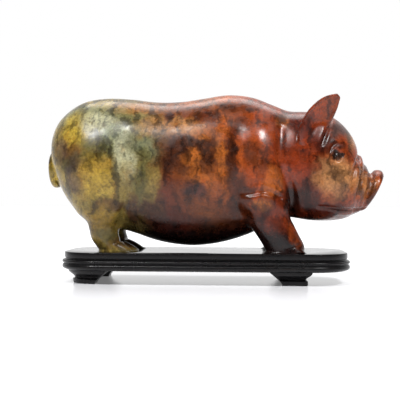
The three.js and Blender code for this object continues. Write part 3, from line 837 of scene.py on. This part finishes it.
def mix(factor, first, second, blend_type="MIX"):
    """A blend of two colours, each a plain value or another node's output."""
    node = add_node("ShaderNodeMix", data_type="RGBA", blend_type=blend_type)
    for socket, value in ((node.inputs[0], factor), (node.inputs[6], first), (node.inputs[7], second)):
        if isinstance(value, (tuple, float)):
            socket.default_value = value
        else:
            tree.links.new(value, socket)
    return node.outputs[2]


def pattern(vector, scale, detail, seed, low, high, out_low, out_high, kind="SMOOTHSTEP"):
    """A noise of which the part from low to high runs from out_low to out_high."""
    return fit(noise(scale, detail, vector, seed).outputs["Fac"], low, high, out_low, out_high, kind)


# The far flank has the near one's stains, through a mirrored place that drifts there, so that they
# lie differently
place = add_node("ShaderNodeTexCoord").outputs["Object"]
across = add_node("ShaderNodeSeparateXYZ")
tree.links.new(place, across.inputs[0])
folded = add_node("ShaderNodeCombineXYZ")
mirror = add_node("ShaderNodeMath", operation="ABSOLUTE")
minus = add_node("ShaderNodeMath", operation="MULTIPLY")
minus.inputs[1].default_value = -1
tree.links.new(across.outputs["Y"], mirror.inputs[0])
tree.links.new(mirror.outputs[0], minus.inputs[0])
tree.links.new(across.outputs["X"], folded.inputs["X"])
tree.links.new(minus.outputs[0], folded.inputs["Y"])
tree.links.new(across.outputs["Z"], folded.inputs["Z"])
soaked = folded.outputs[0]
far_side = fit(across.outputs["Y"], 0.0, FAR_SIDE_DEPTH, 0.0, FAR_SIDE_DRIFT)
NOISE_MIDDLE = (0.5, 0.5, 0.5)
shift = vector_math("SUBTRACT", noise(30, 1, place, 4.0).outputs["Color"], NOISE_MIDDLE)
drift = vector_math("SCALE", shift)
tree.links.new(far_side, drift.node.inputs["Scale"])
soaked = vector_math("ADD", soaked, drift)
for scale, detail, amount, seed in WARPS:
    swirl = vector_math("SUBTRACT", noise(scale, detail, place, seed).outputs["Color"], NOISE_MIDDLE)
    soaked = vector_math("ADD", soaked, vector_math("SCALE", swirl, scale=amount))

soaked_parts = add_node("ShaderNodeSeparateXYZ")
tree.links.new(soaked, soaked_parts.inputs[0])
region = add_node("ShaderNodeValToRGB")
ramp = region.color_ramp
while len(ramp.elements) < len(REGION_STOPS):
    ramp.elements.new(0.5)
for element, (stop, name) in zip(ramp.elements, REGION_STOPS):
    element.position = stop
    element.color = stone_colour(name)
tree.links.new(fit(soaked_parts.outputs["X"], pig_low[0], pig_high[0], kind="LINEAR"), region.inputs[0])
colour = region.outputs["Color"]
# Painted shade: the belly darkens to nearly black towards its underside, from behind the haunch forwards
belly_painted_shade = fit(soaked_parts.outputs["Z"], STAND_TOP + BELLY_TOP * UNIT, STAND_TOP + BELLY_LOW * UNIT)
amidships = fit(soaked_parts.outputs["X"], spot(BELLY_FROM, 0, 0)[0], spot(BELLY_FULL, 0, 0)[0])
shade = add_node("ShaderNodeMath", operation="MULTIPLY")
tree.links.new(belly_painted_shade, shade.inputs[0])
tree.links.new(amidships, shade.inputs[1])
colour = mix(shade.outputs[0], colour, stone_colour("soot"))

for along, high, half_length, half_height, lean, name, amount in STAINS:
    centre = flank(along, high)
    egg = add_node("ShaderNodeMapping", vector_type="TEXTURE")
    egg.inputs["Location"].default_value = tuple(centre)
    egg.inputs["Rotation"].default_value = (0, math.radians(lean), 0)
    egg.inputs["Scale"].default_value = (half_length * UNIT, STAIN_DEPTH * UNIT, half_height * UNIT)
    tree.links.new(soaked, egg.inputs["Vector"])
    reach = vector_math("LENGTH", egg.outputs[0])
    soak = fit(reach, 1 + STAIN_FRAY, 1 - STAIN_FRAY, 0.0, amount)
    colour = mix(soak, colour, stone_colour(name))

# Clouding, veins, slanting streaks, grain and specks in the stone, then its polish
colour = mix(1.0, colour, pattern(soaked, *CLOUD), "MULTIPLY")
colour = mix(1.0, colour, pattern(soaked, *VEINS), "MULTIPLY")
slant = add_node("ShaderNodeMapping")
slant.inputs["Rotation"].default_value = (0, STREAK_SLANT, 0)
slant.inputs["Scale"].default_value = (1, 0.6, 0.3)
tree.links.new(soaked, slant.inputs["Vector"])
colour = mix(1.0, colour, pattern(slant.outputs[0], *STREAKS), "MULTIPLY")
colour = mix(pattern(slant.outputs[0], *FLAMES), colour, stone_colour("sand"), "SOFT_LIGHT")
colour = mix(1.0, colour, pattern(place, *GRAIN), "MULTIPLY")
colour = mix(pattern(place, *SPECKS), colour, stone_colour("umber"))
deepened = add_node("ShaderNodeGamma")
deepened.inputs["Gamma"].default_value = STONE_DEPTH
tree.links.new(colour, deepened.inputs["Color"])
tree.links.new(deepened.outputs[0], shader.inputs["Base Color"])
shader.inputs["Specular IOR Level"].default_value = 0.34
tree.links.new(pattern(place, *POLISH), shader.inputs["Roughness"])
shader.inputs["IOR"].default_value = 1.5
shader.inputs["Subsurface Weight"].default_value = 0.06
shader.inputs["Subsurface Radius"].default_value = (1.0, 0.5, 0.25)
shader.inputs["Subsurface Scale"].default_value = 0.002
pits = add_node("ShaderNodeBump")
pits.inputs["Strength"].default_value = 0.12
pits.inputs["Distance"].default_value = 0.0004
tree.links.new(noise(420, 6, place, 9.0).outputs["Fac"], pits.inputs["Height"])
tree.links.new(pits.outputs[0], shader.inputs["Normal"])

# The stand: a board with a moulded edge on four bracket feet, in black-lacquered hardwood. Shallow
# sockets cut into its top hold the pig's feet.
LACQUER_BLACK = (0.0050, 0.0046, 0.0052, 1)
LACQUER_GRAIN = (0.016, 0.010, 0.008, 1)
LACQUER_RUBBED = (0.010, 0.009, 0.0095, 1)
SATIN = (240, 5, 3.0, 0.3, 0.7, 0.24, 0.36, "LINEAR")
RUBBING = (160, 5, 2.0, 0.45, 0.75, 0.0, 0.5)
TOP_ROUGHNESS = 0.07
lacquer, tree, shader = new_material("black_lacquer")
board_place = add_node("ShaderNodeTexCoord").outputs["Object"]
board_height = add_node("ShaderNodeSeparateXYZ")
tree.links.new(board_place, board_height.inputs[0])
wood_run = add_node("ShaderNodeMapping")
wood_run.inputs["Scale"].default_value = (0.06, 1, 1)
tree.links.new(board_place, wood_run.inputs["Vector"])
wood_grain = noise(1400, 4, wood_run.outputs[0], 1.0).outputs["Fac"]
grained = mix(fit(wood_grain, 0.5, 0.72, 0.0, 0.6), LACQUER_BLACK, LACQUER_GRAIN)
lacquer_colour = mix(pattern(board_place, *RUBBING), grained, LACQUER_RUBBED)
tree.links.new(lacquer_colour, shader.inputs["Base Color"])
# The top is polished bright, the moulded edge left satin
buffed = fit(board_height.outputs["Z"], STAND_TOP - 0.0003, STAND_TOP - 0.0001)
gloss = add_node("ShaderNodeMix", data_type="FLOAT")
tree.links.new(buffed, gloss.inputs[0])
tree.links.new(pattern(board_place, *SATIN), gloss.inputs[2])
gloss.inputs[3].default_value = TOP_ROUGHNESS
tree.links.new(gloss.outputs[0], shader.inputs["Roughness"])
shader.inputs["Specular IOR Level"].default_value = 0.24
pores = add_node("ShaderNodeBump")
pores.inputs["Strength"].default_value = 0.06
pores.inputs["Distance"].default_value = 0.0002
tree.links.new(wood_grain, pores.inputs["Height"])
tree.links.new(pores.outputs[0], shader.inputs["Normal"])

# Sizes of the board and its feet in millimetres, as in the solid
PLATE_THICKNESS = 3.4
PLATE_SETBACK = 1.3
GROOVE_HEIGHT = 0.6
GROOVE_SETBACK = 2.6
UPPER_BEAD = 1.9
LOWER_BEAD = 2.7
BEAD_BULGE = 1.3
BEAD_GAP = 0.3
COVE_HEIGHT = 0.65
COVE_SETBACK = 1.6
EDGE_ROUND = 0.35
BEAD_ARC = 75
CORNER_RADIUS = 21.0
FOOT_HEIGHT = 7.05
TAIL_FOOT_LENGTH = 23.4
HEAD_FOOT_LENGTH = 22.0
FOOT_WIDTH = 17.5
FOOT_WAIST = 3.3
FOOT_PAD_SETBACK = 2.2
FOOT_TAPER = 6.6
FOOT_PAD = 2.6
PAD_SHOULDER = 0.25
PAD_DROP = 0.05
PAD_ROUND = 0.12
FOOT_INSET = 3.2
HEAD_FOOT_INSET = 21.0
FOOT_INTO_BOARD = 0.4
SOCKET_CLEARANCE = 0.6
CUTTER_ABOVE = 2
SHARP_EDGE = math.radians(38)
CORNER_STEPS = 20
STAND_HEIGHT = STAND_TOP / MM
TAIL_END, HEAD_END = stand_low[0] / MM, stand_high[0] / MM
HALF_DEPTH = stand_high[1] / MM


def stand_outline(setback, z):
    """The board's outline in millimetres, drawn in by a setback, at a height."""
    radius = CORNER_RADIUS - setback
    quarter = math.pi / 2
    head, tail_end = HEAD_END - CORNER_RADIUS, TAIL_END + CORNER_RADIUS
    out = HALF_DEPTH - CORNER_RADIUS
    ring = []
    for k, (x, y) in enumerate(((head, out), (tail_end, out), (tail_end, -out), (head, -out))):
        for i in range(CORNER_STEPS + 1):
            turn = quarter * (k + i / CORNER_STEPS)
            ring.append((x + radius * math.cos(turn), y + radius * math.sin(turn), z))
    return ring


def edge_profile():
    """Setbacks and heights of the board's edge, from the underside up."""
    cove_top = FOOT_HEIGHT + COVE_HEIGHT
    rows = []
    for turn in np.radians([0, 22, 45, 67]):
        rows.append((COVE_SETBACK * (2 - math.sin(turn)), cove_top - COVE_HEIGHT * math.cos(turn)))
    for bottom, height in ((cove_top, LOWER_BEAD), (cove_top + LOWER_BEAD + BEAD_GAP, UPPER_BEAD)):
        for turn in np.radians(np.linspace(-BEAD_ARC, BEAD_ARC, 13)):
            rise = (1 + math.sin(turn) / math.sin(math.radians(BEAD_ARC))) / 2
            rows.append(((1 - math.cos(turn)) * BEAD_BULGE, bottom + rise * height))
    plate_bottom = STAND_HEIGHT - PLATE_THICKNESS
    rows += [(GROOVE_SETBACK, plate_bottom - GROOVE_HEIGHT), (GROOVE_SETBACK, plate_bottom)]
    for turn in np.radians([0, 30, 60, 90]):
        rows.append((PLATE_SETBACK + EDGE_ROUND * 2 * (1 - math.sin(turn)),
                     plate_bottom + EDGE_ROUND * 2 * (1 - math.cos(turn))))
    for turn in np.radians([0, 30, 60, 90]):
        rows.append((PLATE_SETBACK + EDGE_ROUND * (1 - math.cos(turn)),
                     STAND_HEIGHT - EDGE_ROUND * (1 - math.sin(turn))))
    return rows


def foot_face():
    """Setbacks and heights of a foot's outer face, from its top: a cyma to the waist, then the pad."""
    middle = (FOOT_HEIGHT + FOOT_PAD) / 2
    rows = []
    for t in np.linspace(0, 1, 9):
        setback = FOOT_WAIST * (3 * t ** 2 * (1 - t) + t ** 3)
        between = middle * (3 * t * (1 - t) ** 2 + 3 * t ** 2 * (1 - t))
        rows.append((setback, FOOT_HEIGHT * (1 - t) ** 3 + between + FOOT_PAD * t ** 3))
    rows.append((FOOT_PAD_SETBACK + PAD_SHOULDER, FOOT_PAD - PAD_DROP))
    rows.append((FOOT_PAD_SETBACK, FOOT_PAD - EDGE_ROUND))
    rows.append((FOOT_PAD_SETBACK, 2 * EDGE_ROUND))
    rows.append((FOOT_PAD_SETBACK + PAD_ROUND, EDGE_ROUND))
    rows.append((FOOT_PAD_SETBACK + EDGE_ROUND, 0))
    return rows


def loft_mesh(mesh, rings):
    """Adds a closed skin over rings of equally many points, in millimetres, to a mesh in the making."""
    rings = [[mesh.verts.new(Vector(p) * MM) for p in ring] for ring in rings]
    for low, high in zip(rings[:-1], rings[1:]):
        for i in range(len(low)):
            j = (i + 1) % len(low)
            mesh.faces.new((low[i], low[j], high[j], high[i]))
    mesh.faces.new(rings[0][::-1])
    mesh.faces.new(rings[-1])


def closed_piece(name, build, material):
    """An object from a mesh in the making, with doubles merged and faces pointing out."""
    mesh = bmesh.new()
    build(mesh)
    bmesh.ops.remove_doubles(mesh, verts=mesh.verts, dist=1e-6)
    bmesh.ops.recalc_face_normals(mesh, faces=mesh.faces)
    data = bpy.data.meshes.new(name)
    mesh.to_mesh(data)
    mesh.free()
    data.materials.append(material)
    thing = bpy.data.objects.new(name, data)
    scene.collection.objects.link(thing)
    return thing


def foot_ring(setback, z, length, at_tail, side):
    """The outline of a bracket foot at one height, which follows the stand's outline outside."""
    taper = FOOT_TAPER * min(1, (FOOT_HEIGHT - z) / (FOOT_HEIGHT - FOOT_PAD / 2))
    outer_y = HALF_DEPTH - FOOT_INSET - setback
    inner_y = HALF_DEPTH - FOOT_INSET - FOOT_WIDTH + taper
    if not at_tail:
        outer_x = HEAD_END - HEAD_FOOT_INSET - setback
        inner_x = HEAD_END - HEAD_FOOT_INSET - length + taper
        ring = [(inner_x, outer_y), (inner_x, inner_y), (outer_x, inner_y), (outer_x, outer_y)]
        return [(x, side * y, z) for x, y in ring]
    inner_x = TAIL_END + FOOT_INSET + length - taper
    radius = CORNER_RADIUS - FOOT_INSET - setback
    centre_x, centre_y = TAIL_END + CORNER_RADIUS, HALF_DEPTH - CORNER_RADIUS
    outer_x = TAIL_END + FOOT_INSET + setback
    first = math.asin(min(1, max(0, (inner_y - centre_y) / radius)))
    last = math.pi / 2 if inner_x > centre_x else math.acos((centre_x - inner_x) / radius)
    corner_x = outer_x if inner_y < centre_y else centre_x - radius * math.cos(first)
    ring = [(inner_x, inner_y), (corner_x, inner_y)]
    for turn in np.linspace(first, last, CORNER_STEPS):
        ring.append((centre_x - radius * math.cos(turn), centre_y + radius * math.sin(turn)))
    ring.append((inner_x, outer_y if inner_x > centre_x else centre_y + radius * math.sin(last)))
    return [(x, side * y, z) for x, y in ring]


def stand_body(mesh):
    loft_mesh(mesh, [stand_outline(setback, z) for setback, z in edge_profile()])


def stand_feet(mesh):
    rows = [(0, FOOT_HEIGHT + FOOT_INTO_BOARD)] + foot_face()
    for side in (NEAR, FAR):
        for at_tail, length in ((True, TAIL_FOOT_LENGTH), (False, HEAD_FOOT_LENGTH)):
            loft_mesh(mesh, [foot_ring(setback, z, length, at_tail, side) for setback, z in rows])


def socket_cutters(mesh):
    """Ovals a little larger than the soles, which reach from their undersides out of the top."""
    for side in (NEAR, FAR):
        for foot in FEET:
            rim = oval(foot["along"], side * foot["out"], 0, foot["length"], foot["width"],
                       FOOT_SQUARENESS, 64)
            centre = rim.mean(0)
            outwards = rim - centre
            reach = np.linalg.norm(outwards, axis=1)[:, None]
            grown = (centre + outwards * (1 + SOCKET_CLEARANCE * MM / reach)) / MM
            heights = (pig_low[2] / MM, STAND_HEIGHT + CUTTER_ABOVE)
            loft_mesh(mesh, [[(x, y, z) for x, y, _ in grown] for z in heights])


stand = closed_piece("stand", stand_body, lacquer)
feet = closed_piece("stand_feet", stand_feet, lacquer)
cutters = closed_piece("sockets", socket_cutters, lacquer)
# The feet are let into the board, then the sockets are cut
for tool, operation in ((feet, "UNION"), (cutters, "DIFFERENCE")):
    shape = stand.modifiers.new(tool.name, "BOOLEAN")
    shape.object = tool
    shape.operation = operation
    shape.solver = "EXACT"
depsgraph = bpy.context.evaluated_depsgraph_get()
joined = bpy.data.meshes.new_from_object(stand.evaluated_get(depsgraph))
stand.modifiers.clear()
stand.data = joined
for tool in (feet, cutters):
    bpy.data.objects.remove(tool)
joined.polygons.foreach_set("use_smooth", [True] * len(joined.polygons))
joined.set_sharp_from_angle(angle=SHARP_EDGE)
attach(stand, "root")
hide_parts("wooden_stand")
